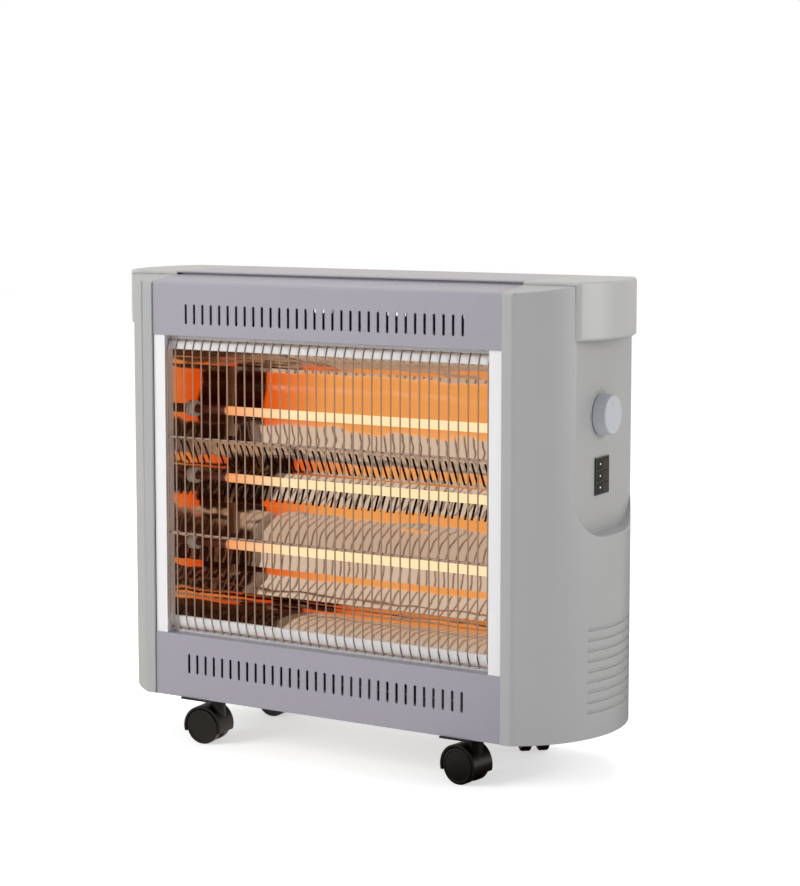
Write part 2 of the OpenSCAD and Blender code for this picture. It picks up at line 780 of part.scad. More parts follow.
module terminal_block() {
    x = gland_x - (pole_n - 1) * pole_pitch / 2;
    z = base_z + sheet_t;
    color("#E6E4DC") difference() {
        box([x - 7, 40, z], [x + (pole_n - 1) * pole_pitch + 7, 60, z + block_h]);
        for (i = [0:pole_n - 1]) {
            rod_y(35, 65, x + i * pole_pitch, z + 7, 4);
            translate([x + i * pole_pitch, 50, z + 7]) cylinder(d = 4.4, h = block_h);
        }
    }
}

module tilt_switch() {
    z = base_z + sheet_t;
    color("#3C3C40") {
        box([-tilt_w / 2, 40, z], [tilt_w / 2, 40 + tilt_d, z + tilt_h]);
        for (x = [-10, 10])
            box([x - 3, 39.5 + tilt_d / 2, z + tilt_h - 1], [x + 3, 40.5 + tilt_d / 2, z + tilt_h + 8]);
    }
}

module cord_gland() {
    z = base_z + gland_h;
    d = gland_bore_d + 4;
    color("#1E1E20") difference() {
        union() {
            rod_y(inner_y - 9, panel_y + 1, gland_x, z, d);
            rod_y(panel_y, body_d / 2, gland_x, z, d + 6);
            translate([gland_x, inner_y, z]) rotate([90, 0, 0]) cylinder(d = d + 8, h = 4, $fn = 6);
        }
        rod_y(inner_y - 10, body_d / 2 + eps, gland_x, z, gland_bore_d);
    }
}

// ---------- fan ----------

module fan_motor() {
    color("#6A6C70") difference() {
        union() {
            rod_y(motor_y0, motor_y1, 0, fan_z, motor_d);
            rod_y(motor_y0 - 5, motor_y0 + 1, 0, fan_z, 20);
        }
        rod_y(motor_y0 - 6, motor_y0 + 16, 0, fan_z, fan_shaft_d + 2 * running);
    }
}

module fan_bracket() {
    y = motor_y1 + sheet_t;
    x = bracket_w / 2;
    foot = x + bracket_foot;
    path = [[-foot, inner_y], [-x, inner_y], [-x, y], [x, y], [x, inner_y], [foot, inner_y]];
    color("#B0B2B4") translate([0, 0, fan_z - bracket_h / 2]) linear_extrude(bracket_h)
        polygon(sheet(path, -sheet_t));
}

module fan_shaft() {
    color("#C0C0C2") rod_y(impeller_y0 - 2, motor_y0 + 14, 0, fan_z, fan_shaft_d);
}

module fan_impeller() {
    lean = 35;
    len = (fan_d - hub_d) / 2 + 2;
    chord = blade_l / sin(lean) - 4;
    color("#4A4C50") difference() {
        union() {
            rod_y(impeller_y0, impeller_y0 + blade_l, 0, fan_z, hub_d);
            intersection() {
                translate([0, impeller_y0 + blade_l / 2, fan_z]) for (i = [0:blade_n - 1])
                    rotate([0, i * 360 / blade_n, 0]) translate([0, 0, hub_d / 2 - 3 + len / 2])
                        rotate([0, 0, lean]) cube([chord, 1.8, len + 4], center = true);
                rod_y(impeller_y0, impeller_y0 + blade_l, 0, fan_z, fan_d);
            }
        }
        rod_y(impeller_y0 - eps, impeller_y0 + blade_l + eps, 0, fan_z, fan_shaft_d);
    }
}

// ---------- castors ----------

module castor_rail() {
    color("#2A2A2C") translate([0, 0, rail_z]) linear_extrude(rail_t) difference() {
        translate([castor_x - rail_w / 2, -body_d / 2]) square([rail_w, body_d]);
        for (s = [-1, 1]) {
            translate([castor_x, s * castor_y]) circle(d = stem_d);
            translate([castor_x, s * bolt_y]) circle(d = screw_hole);
        }
    }
}

module castor_stems() {
    color("#B0B0B2") for (sx = [-1, 1], sy = [-1, 1])
        translate([sx * castor_x, sy * castor_y, collar_z + 3])
            cylinder(d = stem_d, h = base_z - collar_z - 3);
}

// A piece of one castor, drawn with its swivel axis at the origin, put in its corner
module at_castor(c) {
    translate([c[0] * castor_x, c[1] * castor_y, 0]) rotate(c[2]) children();
}

module castor(c) {
    w = castor_half_w;
    color("#1A1A1C") at_castor(c) difference() {
        union() {
            along_y(-w, w) intersection() {
                translate([-trail, wheel_r]) circle(r = hood_r);
                translate([-trail - hood_r, wheel_r - 6.5]) square([2 * hood_r, 2 * hood_r]);
            }
            translate([0, 0, wheel_r]) cylinder(d = collar_d, h = rail_z - gap - wheel_r);
        }
        for (s = [-1, 1])
            rod_y(min(s * web_t / 2, s * (w + eps)), max(s * web_t / 2, s * (w + eps)), -trail, wheel_r,
                  2 * (wheel_r + hood_gap));
        rod_y(-w, w, -trail, wheel_r, axle_d);
        translate([0, 0, collar_z + 2.5]) cylinder(d = stem_d + 2 * running, h = 20);
    }
}

module axle(c) {
    l = web_t / 2 + gap + wheel_w - 2.3;
    color("#B0B0B2") at_castor(c) rod_y(-l, l, -trail, wheel_r, axle_d);
}

module wheel(c, s) {
    w = wheel_w;
    r = wheel_r;
    bore = axle_d / 2 + running;
    hub = axle_d / 2 + 3;
    color("#202022") at_castor(c) translate([-trail, s * (web_t / 2 + gap), wheel_r])
        rotate([-90 * s, 0, 0]) rotate_extrude($fn = 72) polygon([
            [bore, 0], [hub, 0], [hub, 1], [r - 3, 1], [r - 3, 0], [r - 1, 0], [r, 1], [r, w - 1.5],
            [r - 0.45, w - 0.45], [r - 1.5, w], [r - 3.4, w], [r - 3.8, w - 0.5], [0, w - 0.5],
            [0, w - 2], [bore, w - 2]]);
}

// ---------- screws ----------

module panel_screws() {
    color("#8C8C8E") for (s = [-1, 1], z = panel_screw_z) {
        rod_y(inner_y - 6, panel_y + 1, s * screw_x, z, screw_d);
        difference() {
            rod_y(panel_y, panel_y + head_h, s * screw_x, z, head_d);
            for (v = [[4, 0.9], [0.9, 4]])
                box([s * screw_x - v[0] / 2, panel_y + 0.9, z - v[1] / 2],
                    [s * screw_x + v[0] / 2, panel_y + 3, z + v[1] / 2]);
        }
    }
}

module casing_screws() {
    color("#8C8C8E") for (s = [-1, 1], p = boss_yz) scale([s, 1, 1]) {
        rod_x(frame_x - 1, panel_half_w + 11, p[0], p[1], screw_d);
        rod_x(frame_x - head_h, frame_x, p[0], p[1], head_d);
    }
}

module rail_bolts() {
    color("#8C8C8E") for (sx = [-1, 1], sy = [-1, 1]) translate([sx * castor_x, sy * bolt_y, 0]) {
        translate([0, 0, rail_z]) cylinder(d = screw_d, h = base_z + sheet_t - rail_z + 1);
        translate([0, 0, base_z + sheet_t]) cylinder(d = 8, h = 2.5, $fn = 6);
    }
}

// ---------- named pieces ----------

module left_side_frame() on_left() side_frame();
module right_side_frame() side_frame();
module left_handle_cap() on_left() handle_cap();
module right_handle_cap() handle_cap();
module left_end_plate() on_left() end_plate();
module right_end_plate() end_plate();
module upper_lamp_tube() lamp_tube(1);
module middle_lamp_tube() lamp_tube(0);
module lower_lamp_tube() lamp_tube(-1);
module left_lamp_caps() on_left() lamp_caps();
module right_lamp_caps() lamp_caps();
module left_lamp_holder() on_left() lamp_holder();
module right_lamp_holder() lamp_holder();
module upper_rocker() rocker(1);
module middle_rocker() rocker(0);
module lower_rocker() rocker(-1);
module left_castor_rail() on_left() castor_rail();
module right_castor_rail() castor_rail();
module front_left_castor() castor(FL);
module front_left_axle() axle(FL);
module front_left_wheel_a() wheel(FL, -1);
module front_left_wheel_b() wheel(FL, 1);
module front_right_castor() castor(FR);
module front_right_axle() axle(FR);
module front_right_wheel_a() wheel(FR, -1);
module front_right_wheel_b() wheel(FR, 1);
module rear_left_castor() castor(RL);
module rear_left_axle() axle(RL);
module rear_left_wheel_a() wheel(RL, -1);
module rear_left_wheel_b() wheel(RL, 1);
module rear_right_castor() castor(RR);
module rear_right_axle() axle(RR);
module rear_right_wheel_a() wheel(RR, -1);
module rear_right_wheel_b() wheel(RR, 1);

upper_front_panel();
lower_front_panel();
top_panel();
rear_panel();
base_pan();
left_side_frame();
right_side_frame();
left_side_casing();
right_side_casing();
left_handle_cap();
right_handle_cap();
reflector();
left_end_plate();
right_end_plate();
guard_grille();
upper_lamp_tube();
middle_lamp_tube();
lower_lamp_tube();
filament_coils();
left_lamp_caps();
right_lamp_caps();
left_lamp_holder();
right_lamp_holder();
thermostat_body();
thermostat_shaft();
thermostat_knob();
switch_housing();
rocker_pin();
upper_rocker();
middle_rocker();
lower_rocker();
terminal_block();
tilt_switch();
cord_gland();
fan_motor();
fan_bracket();
fan_impeller();
fan_shaft();
left_castor_rail();
right_castor_rail();
castor_stems();
rail_bolts();
panel_screws();
casing_screws();
front_left_castor();
front_right_castor();
rear_left_castor();
rear_right_castor();
front_left_axle();
front_right_axle();
rear_left_axle();
rear_right_axle();
front_left_wheel_a();
front_left_wheel_b();
front_right_wheel_a();
front_right_wheel_b();
rear_left_wheel_a();
rear_left_wheel_b();
rear_right_wheel_a();
rear_right_wheel_b();
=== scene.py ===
"""Looks of the halogen heater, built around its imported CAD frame. Sizes are in millimetres."""
import json
import math

import bmesh
import bpy
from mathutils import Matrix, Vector

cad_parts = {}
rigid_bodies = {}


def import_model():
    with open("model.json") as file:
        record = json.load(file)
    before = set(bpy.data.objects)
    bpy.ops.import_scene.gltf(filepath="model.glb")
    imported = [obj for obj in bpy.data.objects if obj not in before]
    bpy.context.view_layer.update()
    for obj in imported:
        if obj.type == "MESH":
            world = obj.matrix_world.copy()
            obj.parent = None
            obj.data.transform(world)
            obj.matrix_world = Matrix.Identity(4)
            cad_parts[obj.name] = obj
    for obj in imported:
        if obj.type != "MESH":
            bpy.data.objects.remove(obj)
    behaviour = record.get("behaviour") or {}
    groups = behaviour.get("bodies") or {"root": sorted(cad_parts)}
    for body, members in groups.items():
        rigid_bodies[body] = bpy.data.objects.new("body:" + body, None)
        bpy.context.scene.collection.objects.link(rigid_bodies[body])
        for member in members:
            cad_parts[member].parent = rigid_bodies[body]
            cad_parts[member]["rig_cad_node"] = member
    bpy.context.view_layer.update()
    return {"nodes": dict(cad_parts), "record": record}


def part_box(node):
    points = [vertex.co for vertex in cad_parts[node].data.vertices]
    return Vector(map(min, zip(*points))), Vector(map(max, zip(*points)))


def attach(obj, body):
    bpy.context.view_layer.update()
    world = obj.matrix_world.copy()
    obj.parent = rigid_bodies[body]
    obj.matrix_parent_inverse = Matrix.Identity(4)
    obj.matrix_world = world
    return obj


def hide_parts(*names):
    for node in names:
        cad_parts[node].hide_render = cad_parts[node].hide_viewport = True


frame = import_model()
MM = 0.001


# ---------- camera, floor and light ----------

def make_camera():
    """Camera at the photograph's place: to the right of the front, a little above the top."""
    data = bpy.data.cameras.new("camera")
    data.sensor_fit = "VERTICAL"
    data.sensor_width = data.sensor_height = 36
    data.lens = 87.45
    data.shift_y = -0.0677
    data.clip_start, data.clip_end = 0.05, 60
    camera = bpy.data.objects.new("camera", data)
    bpy.context.collection.objects.link(camera)
    camera.location = (1.22464, -2.03421, 0.64808)
    turn, dip = 30.38, 5.66
    camera.rotation_euler = (math.radians(90 - dip), 0, math.radians(turn))
    bpy.context.scene.camera = camera


def linear(code, share=1):
    """Linear colour of an sRGB hex code, or a share of it that is darker or lighter."""
    parts = [int(code[i:i + 2], 16) / 255 for i in (1, 3, 5)]
    light = [c / 12.92 if c <= 0.04045 else ((c + 0.055) / 1.055) ** 2.4 for c in parts]
    return tuple(min(1, c * share) for c in light) + (1,)


def add(tree, kind, sockets=None, **settings):
    """Adds a shader node; each socket gets a plain value or the output of another node."""
    made = tree.nodes.new("ShaderNode" + kind)
    for key, value in settings.items():
        setattr(made, key, value)
    for key, value in (sockets or {}).items():
        if isinstance(value, bpy.types.NodeSocket):
            tree.links.new(value, made.inputs[key])
        else:
            made.inputs[key].default_value = value
    return made


def new_material(name):
    """An empty node material and its tree."""
    material = bpy.data.materials.new(name)
    material.use_nodes = True
    material.node_tree.nodes.clear()
    return material, material.node_tree


def end_with(tree, shader):
    """Makes a shader the surface of its material."""
    add(tree, "OutputMaterial", {"Surface": shader})


def blend(tree, factor, low, high):
    """Colour between two: low where the factor is 0, high where it is 1."""
    return add(tree, "Mix", {"Factor": factor, "A": low, "B": high}, data_type="RGBA").outputs["Result"]


def either(tree, factor, low, high):
    """Shader between two: low where the factor is 0, high where it is 1."""
    return add(tree, "MixShader", {"Fac": factor, 1: low, 2: high}).outputs[0]


def own_place(tree):
    """Coordinates in metres that stay with the object."""
    return add(tree, "TexCoord").outputs["Object"]


def distance(tree, value, middle):
    """How far a value lies from a middle one, to either side."""
    off = add(tree, "Math", {0: value, 1: middle}, operation="SUBTRACT")
    return add(tree, "Math", {0: off.outputs[0]}, operation="ABSOLUTE").outputs[0]


# Direction of the studio's dark wall, seen from the heater
DARK_WALL = (0.62, -0.78, 0.0)


def make_world():
    """Soft white studio, with a darker wall behind the camera for polished metal to mirror."""
    world = bpy.data.worlds.new("studio")
    bpy.context.scene.world = world
    world.use_nodes = True
    tree = world.node_tree
    tree.nodes.clear()
    path = add(tree, "LightPath")
    place = add(tree, "TexCoord")
    towards = add(tree, "VectorMath", {0: place.outputs["Generated"], 1: DARK_WALL}, operation="DOT_PRODUCT")
    wall = add(tree, "ValToRGB", {"Fac": towards.outputs["Value"]})
    ramp = wall.color_ramp
    ramp.elements[0].position, ramp.elements[0].color = 0.42, linear("#E0D9D2")
    ramp.elements[1].position, ramp.elements[1].color = 0.60, linear("#241210")
    mirrored = add(tree, "Background", {"Color": wall.outputs["Color"], "Strength": 1.0})
    seen = add(tree, "Background", {"Color": (1, 1, 1, 1), "Strength": 1.0})
    lighting = add(tree, "Background", {"Color": (1, 1, 1, 1), "Strength": 0.50})
    glossy = either(tree, path.outputs["Is Glossy Ray"], lighting.outputs[0], mirrored.outputs[0])
    direct = add(tree, "Math", {0: path.outputs["Is Camera Ray"], 1: path.outputs["Is Transmission Ray"]},
                 operation="MAXIMUM")
    add(tree, "OutputWorld", {"Surface": either(tree, direct.outputs[0], glossy, seen.outputs[0])})


def area_light(name, place, aim, size, power, mirrored=False):
    """A softbox that lights matt surfaces, or one that only polished and glossy ones mirror."""
    data = bpy.data.lights.new(name, "AREA")
    data.shape, data.size, data.energy = "SQUARE", size, power
    light = bpy.data.objects.new(name, data)
    bpy.context.collection.objects.link(light)
    light.location = place
    light.rotation_euler = (Vector(aim) - Vector(place)).to_track_quat("-Z", "Y").to_euler()
    light.visible_glossy = mirrored
    light.visible_diffuse = not mirrored


# Painted reflection: a dark band in the floor that only mirrors see, in metres: x of its middle, and where it
# begins and ends to fade at each side
BAND_MIDDLE, BAND_CORE, BAND_EDGE = 0.28, 0.16, 0.25


def make_floor():
    """White studio floor, glowing evenly as fill. Mirrors see it as a painted reflection: shade, with a dark
    band across it.
    """
    material, tree = new_material("white studio floor")
    path = add(tree, "LightPath")
    split = add(tree, "SeparateXYZ", {"Vector": own_place(tree)})
    away = distance(tree, split.outputs["X"], BAND_MIDDLE)
    band = add(tree, "MapRange", {"Value": away, "From Min": BAND_CORE, "From Max": BAND_EDGE})
    # Painted reflection: the floor's colour in mirrors, dark in the band and pale outside it
    shade = blend(tree, band.outputs["Result"], linear("#35201A"), linear("#D0C4B9"))
    mirrored = add(tree, "Emission", {"Color": shade, "Strength": 1.0})
    matt = add(tree, "BsdfDiffuse", {"Color": linear("#F2F2F2")})
    bright = add(tree, "Emission", {"Color": (1, 1, 1, 1), "Strength": 0.55})
    plain = add(tree, "AddShader", {0: matt.outputs[0], 1: bright.outputs[0]})
    seen = either(tree, path.outputs["Is Camera Ray"], matt.outputs[0], plain.outputs[0])
    end_with(tree, either(tree, path.outputs["Is Glossy Ray"], seen, mirrored.outputs[0]))
    bpy.ops.mesh.primitive_plane_add(size=14)
    floor = bpy.context.object
    floor.name = "studio_floor"
    floor.data.materials.append(material)


bpy.context.scene.view_settings.view_transform = "Standard"
make_camera()
make_world()
area_light("front softbox", (-1.4, -2.3, 1.4), (0, 0, 0.3), 1.4, 44)
area_light("side softbox", (2.3, 0.3, 1.1), (0.2, 0, 0.3), 1.1, 16)
area_light("side panel", (2.7, 0.55, 0.95), (0.25, 0, 0.3), 2.0, 36, mirrored=True)
area_light("top softbox", (0, 0.3, 2.6), (0, 0, 0.3), 1.6, 22)
make_floor()


# ---------- finishes ----------

# Size of the flakes in the lacquer, the specks in the ceramic and the crystals in the zinc
FLAKE, SPECK, CRYSTAL = 0.9, 1.2, 11

# Glow of a lamp's middle and of its left end, first as the camera sees it and then as the mirrors do; the
# orange that mirrors see is a painted reflection, not the lamp's own colour
CORE_GLOW, END_GLOW = (1.0, 0.78, 0.44, 1), (0.88, 0.33, 0.11, 1)
PAINTED_AMBER_REFLECTION, PAINTED_RED_REFLECTION = (0.93, 0.46, 0.14, 1), (0.86, 0.135, 0.008, 1)
# The glow changes from the end's to the middle's between these x, in metres
RED_X, AMBER_X = -0.15, -0.07


def grain(tree, size, strength, depth, normal=None):
    """Bump of a fine irregular grain; its size and depth are in millimetres."""
    noise = add(tree, "TexNoise", {"Vector": own_place(tree), "Scale": 1 / (size * MM), "Detail": 2.0})
    sockets = {"Height": noise.outputs["Fac"], "Strength": strength, "Distance": depth * MM}
    if normal:
        sockets["Normal"] = normal
    return add(tree, "Bump", sockets).outputs["Normal"]


def rounded(tree, radius):
    """Normal that rounds sharp edges by a radius in millimetres."""
    return add(tree, "Bevel", {"Radius": radius * MM}, samples=4).outputs["Normal"]


def moulded_plastic(name, code, roughness, edge=0.8, shade=0.06):
    """Moulded plastic or plain paint: an even colour, a faint cloudiness and a fine grain."""
    material, tree = new_material(name)
    cloud = add(tree, "TexNoise", {"Vector": own_place(tree), "Scale": 9.0, "Detail": 3.0})
    colour = blend(tree, cloud.outputs["Fac"], linear(code, 1 - shade), linear(code))
    skin = add(tree, "BsdfPrincipled", {
        "Base Color": colour, "Roughness": roughness, "IOR": 1.5,
        "Normal": grain(tree, 1.2, 0.25, 0.05, rounded(tree, edge))})
    end_with(tree, skin.outputs[0])
    return material


def lacquered_steel(name, code):
    """Sprayed metallic lacquer on sheet steel: fine flake, a soft sheen and a thin clear coat."""
    material, tree = new_material(name)
    place = own_place(tree)
    flake = add(tree, "TexVoronoi", {"Vector": place, "Scale": 1 / (FLAKE * MM)})
    cloud = add(tree, "TexNoise", {"Vector": place, "Scale": 6.0, "Detail": 2.0})
    flakes = blend(tree, flake.outputs["Color"], linear(code, 0.90), linear(code, 1.12))
    rough = add(tree, "MapRange", {"Value": cloud.outputs["Fac"], "To Min": 0.34, "To Max": 0.42})
    skin = add(tree, "BsdfPrincipled", {
        "Base Color": blend(tree, 0.35, linear(code), flakes), "Metallic": 0.25,
        "Roughness": rough.outputs["Result"], "IOR": 1.5, "Coat Weight": 0.25, "Coat Roughness": 0.2,
        "Normal": grain(tree, 2.5, 0.12, 0.04, rounded(tree, 0.6))})
    end_with(tree, skin.outputs[0])
    return material


def polished_sheet(name, cold, warm, front, deep):
    """Mirror-rolled sheet: wavy from folding, brushed in front of y = front, warmer in colour towards y =
    deep.
    """
    material, tree = new_material(name)
    place = own_place(tree)
    split = add(tree, "SeparateXYZ", {"Vector": place})
    warmer = add(tree, "MapRange", {"Value": split.outputs["Y"], "From Min": front * MM, "From Max": deep * MM})
    colour = blend(tree, warmer.outputs["Result"], linear(cold), linear(warm))
    drawn = add(tree, "Mapping", {"Vector": place, "Scale": (1.0, 2.2, 2.2)})
    wave = add(tree, "TexNoise", {"Vector": drawn.outputs["Vector"], "Scale": 16.0, "Detail": 1.0})
    buckle = add(tree, "Bump", {"Height": wave.outputs["Fac"], "Strength": 0.35, "Distance": 1.6 * MM})
    metal = add(tree, "BsdfPrincipled", {
        "Base Color": colour, "Metallic": 1.0, "Roughness": 0.05, "Normal": buckle.outputs["Normal"]})
    brushed = add(tree, "BsdfPrincipled", {
        "Base Color": linear("#EBEBEC"), "Metallic": 0.15, "Roughness": 0.5,
        "Normal": grain(tree, 1.5, 0.1, 0.03)})
    edge = add(tree, "MapRange", {"Value": split.outputs["Y"], "From Min": (front - 0.5) * MM,
                                  "From Max": (front + 0.5) * MM})
    end_with(tree, either(tree, edge.outputs["Result"], brushed.outputs[0], metal.outputs[0]))
    return material


def plated(name, code, roughness):
    """Bright plating on drawn wire or turned steel."""
    material, tree = new_material(name)
    metal = add(tree, "BsdfPrincipled", {
        "Base Color": linear(code), "Metallic": 1.0, "Roughness": roughness,
        "Normal": grain(tree, 1.5, 0.1, 0.03)})
    end_with(tree, metal.outputs[0])
    return material


def glowing_quartz(name, lit_from, lit_to):
    """Amber-coated quartz tube, lit between two x: cream where the camera sees it, a painted orange
    reflection in the mirrors.
    """
    material, tree = new_material(name)
    path = add(tree, "LightPath")
    split = add(tree, "SeparateXYZ", {"Vector": own_place(tree)})
    middle, half = (lit_from + lit_to) / 2 * MM, (lit_to - lit_from) / 2
    along = distance(tree, split.outputs["X"], middle)
    lit = add(tree, "MapRange", {"Value": along, "From Min": (half - 3) * MM, "From Max": (half + 1) * MM,
                                 "To Min": 1.0, "To Max": 0.0})
    warmth = add(tree, "MapRange", {"Value": split.outputs["X"], "From Min": RED_X, "From Max": AMBER_X})
    # Painted reflection: tube is the orange that only mirrors see, coil the cream that the camera sees
    tube = blend(tree, warmth.outputs["Result"], PAINTED_RED_REFLECTION, PAINTED_AMBER_REFLECTION)
    coil = blend(tree, warmth.outputs["Result"], END_GLOW, CORE_GLOW)
    glow = blend(tree, path.outputs["Is Camera Ray"], tube, coil)
    glass = add(tree, "BsdfPrincipled", {
        "Base Color": linear("#5A2C20"), "Roughness": 0.25, "IOR": 1.46,
        "Emission Color": glow, "Emission Strength": lit.outputs["Result"]})
    end_with(tree, glass.outputs[0])
    return material


def steatite(name, code):
    """Unglazed steatite, dry and slightly speckled."""
    material, tree = new_material(name)
    speck = add(tree, "TexNoise", {"Vector": own_place(tree), "Scale": 1 / (SPECK * MM), "Detail": 2.0})
    body = add(tree, "BsdfPrincipled", {
        "Base Color": blend(tree, speck.outputs["Fac"], linear(code, 0.82), linear(code)),
        "Roughness": 0.75, "Normal": grain(tree, 1.0, 0.3, 0.05, rounded(tree, 0.5))})
    end_with(tree, body.outputs[0])
    return material


def zinc_sheet(name, code):
    """Hot-dipped zinc: flat crystals a centimetre across that catch the light differently."""
    material, tree = new_material(name)
    crystal = add(tree, "TexVoronoi", {"Vector": own_place(tree), "Scale": 1 / (CRYSTAL * MM)})
    tone = add(tree, "RGBToBW", {"Color": crystal.outputs["Color"]})
    rough = add(tree, "MapRange", {"Value": tone.outputs["Val"], "To Min": 0.35, "To Max": 0.49})
    metal = add(tree, "BsdfPrincipled", {
        "Base Color": blend(tree, tone.outputs["Val"], linear(code, 0.78), linear(code)),
        "Metallic": 1.0, "Roughness": rough.outputs["Result"],
        "Normal": grain(tree, 2.0, 0.1, 0.03, rounded(tree, 0.4))})
    end_with(tree, metal.outputs[0])
    return material


casing_plastic = moulded_plastic("moulded ABS, light grey", "#A9AAAA", 0.32, 0.6)
cap_plastic = moulded_plastic("moulded ABS, pale grey", "#B3B4B2", 0.32, 0.6)
knob_plastic = moulded_plastic("moulded ABS, blue grey", "#BCC0C6", 0.4, 0.5)
panel_lacquer = lacquered_steel("metallic lacquer, mauve grey", "#A5A2AE")
# Painted light: the top panel's lacquer is the front's mauve grey made paler, for the light that falls on its
# top
lit_top_lacquer = lacquered_steel("metallic lacquer, mauve grey, painted paler", "#AEACB5")
mirror_sheet = polished_sheet("mirror-rolled aluminium", "#F0F0F0", "#F0D8C2", -99, -60)
guard_chrome = plated("chromed steel wire", "#CDBDB2", 0.16)
lamp_quartz = glowing_quartz("amber quartz, glowing", -158, 178)
cap_steatite = steatite("steatite", "#E2D8CC")
zinc = zinc_sheet("galvanised steel", "#B2B4B6")
bright_zinc = plated("zinc-plated steel", "#B9BABD", 0.34)
black_nylon = moulded_plastic("moulded nylon, black", "#0B0B0C", 0.36, 0.8, 0.3)
switch_black = moulded_plastic("glossy nylon, black", "#060607", 0.16, 0.4, 0.3)
rail_black = moulded_plastic("black paint", "#1D1D1F", 0.5, 0.3, 0.3)
block_nylon = moulded_plastic("natural nylon", "#E0DDD3", 0.4)
mark_white = moulded_plastic("white pad print", "#F4F4F2", 0.5, 0.05, 0.02)
motor_paint = moulded_plastic("grey paint", "#66686C", 0.5)

FINISHES = {
    "front_panel_paint": panel_lacquer, "galvanised_steel": zinc, "casing_plastic": casing_plastic,
    "cap_plastic": cap_plastic, "polished_reflector": mirror_sheet, "chromed_wire": guard_chrome,
    "quartz": lamp_quartz, "glowing_filament": lamp_quartz, "white_ceramic": cap_steatite,
    "black_plastic": switch_black, "bright_steel": bright_zinc, "knob_plastic": knob_plastic,
    "pale_plastic": block_nylon, "motor_steel": motor_paint, "black_painted_rail": rail_black,
    "castor_plastic": black_nylon,
}
slot_of = {part["node"]: part["material_slot"] for part in frame["record"]["subparts"]}
body_of = {node: body for body, nodes in frame["record"]["behaviour"]["bodies"].items() for node in nodes}
for name, piece in frame["nodes"].items():
    for slot in piece.material_slots:
        slot.material = FINISHES[slot_of[name]]
# The top panel gets the paler copy of the lacquer, painted light
frame["nodes"]["top_panel"].material_slots[0].material = lit_top_lacquer


# ---------- shaped copies of CAD nodes ----------

def shaped_copy(node, name, flat=0.5):
    """A copy of a CAD node that is shaped and stands for it; faces within flat degrees are joined."""
    source = frame["nodes"][node]
    bpy.ops.object.select_all(action="DESELECT")
    source.select_set(True)
    bpy.context.view_layer.objects.active = source
    bpy.ops.object.duplicate()
    piece = bpy.context.object
    del piece["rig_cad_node"]
    piece.name = piece.data.name = name
    bpy.ops.object.mode_set(mode="EDIT")
    bpy.ops.mesh.select_all(action="SELECT")
    bpy.ops.mesh.remove_doubles(threshold=0.005 * MM)
    bpy.ops.mesh.dissolve_limited(angle_limit=math.radians(flat))
    bpy.ops.object.mode_set(mode="OBJECT")
    bpy.ops.mesh.customdata_custom_splitnormals_clear()
    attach(piece, body_of[node])
    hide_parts(node)
    return piece


def round_edges(piece, width, steps, chosen):
    """Rounds a piece's sharp edges whose middle, in millimetres, is one that chosen picks."""
    bpy.ops.object.mode_set(mode="EDIT")
    bpy.ops.mesh.select_mode(type="EDGE")
    bpy.ops.mesh.select_all(action="DESELECT")
    mesh = bmesh.from_edit_mesh(piece.data)
    for edge in mesh.edges:
        if len(edge.link_faces) == 2 and edge.calc_face_angle() > math.radians(35):
            middle = (edge.verts[0].co + edge.verts[1].co) / 2 / MM
            edge.select_set(chosen(middle))
    bmesh.update_edit_mesh(piece.data)
    bpy.ops.mesh.bevel(offset=width * MM, segments=steps, clamp_overlap=False)
    bpy.ops.object.mode_set(mode="OBJECT")


def smooth(piece, angle=28):
    """Smooth shading between sharp edges. Large faces give the normals, so flats stay flat by roundings."""
    bpy.ops.object.select_all(action="DESELECT")
    piece.select_set(True)
    bpy.context.view_layer.objects.active = piece
    bpy.ops.object.shade_smooth_by_angle(angle=math.radians(angle))
    bpy.ops.object.modifier_add(type="WEIGHTED_NORMAL")
    piece.modifiers[-1].keep_sharp = True
    bpy.ops.object.modifier_apply(modifier=piece.modifiers[-1].name)


# Bow of a side casing, worked out from its box: a flange, a step at each side, then an arc
low, high = (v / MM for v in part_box("right_side_casing"))
FLANGE, STEP = 14, 2.6
RISE, CHORD = high.x - low.x - FLANGE, high.y - STEP
BOW_R = (CHORD ** 2 + RISE ** 2) / (2 * RISE)
BOW_X = high.x - BOW_R
# Upper end of the louvres, and the lower edge, corner, half width and floor of the recess
LOUVRE_TOP = low.z + 130
RECESS_BOTTOM, RECESS_CORNER, RECESS_HALF, RECESS_X = low.z + 210.5, 42, 58, high.x - 18.8
# Radii of a handle cap's outer and inner walls, beyond that of the bow
GRIP_OUT, GRIP_IN = 4, 0.5
# A point this near a flat face, or this deep under a bowed one, counts as on it
CLOSE, SKIN = 0.1, 0.3
# Width in degrees of the strips of a bow, and how near its radius a point is brought onto it
STRIP, NEAR_LOW, NEAR_HIGH = 2, 0.8, 0.25
# How much further a handle cap's walls reach in, towards the middle of the heater
WALL_REACH = 1.5


def off_axis(p):
    """Distance of a point from the upright axis of the bow on its side."""
    return math.hypot(abs(p.x) - BOW_X, p.y)


def on_bow(p):
    """True on the outer skin of either side casing."""
    return off_axis(p) > BOW_R - SKIN


def even_strips(piece, side, radii, reach=58):
    """Cuts a bowed piece into narrow upright strips and brings their edges onto its true radii."""
    way = 1 if side == "right" else -1
    bpy.ops.object.mode_set(mode="EDIT")
    for turn in range(-reach, reach + 1, STRIP):
        across = (-math.sin(math.radians(turn)) * way, math.cos(math.radians(turn)), 0)
        bpy.ops.mesh.select_all(action="SELECT")
        bpy.ops.mesh.bisect(plane_co=(way * BOW_X * MM, 0, 0), plane_no=across)
    mesh = bmesh.from_edit_mesh(piece.data)
    for vert in mesh.verts:
        out = off_axis(vert.co / MM)
        near = NEAR_LOW if vert.co.z / MM < RECESS_BOTTOM - 1 else NEAR_HIGH
        for radius in radii:
            if abs(out - radius) < near:
                vert.co.x = (way * BOW_X + (vert.co.x / MM - way * BOW_X) * radius / out) * MM
                vert.co.y *= radius / out
    bmesh.update_edit_mesh(piece.data)
    bpy.ops.object.mode_set(mode="OBJECT")


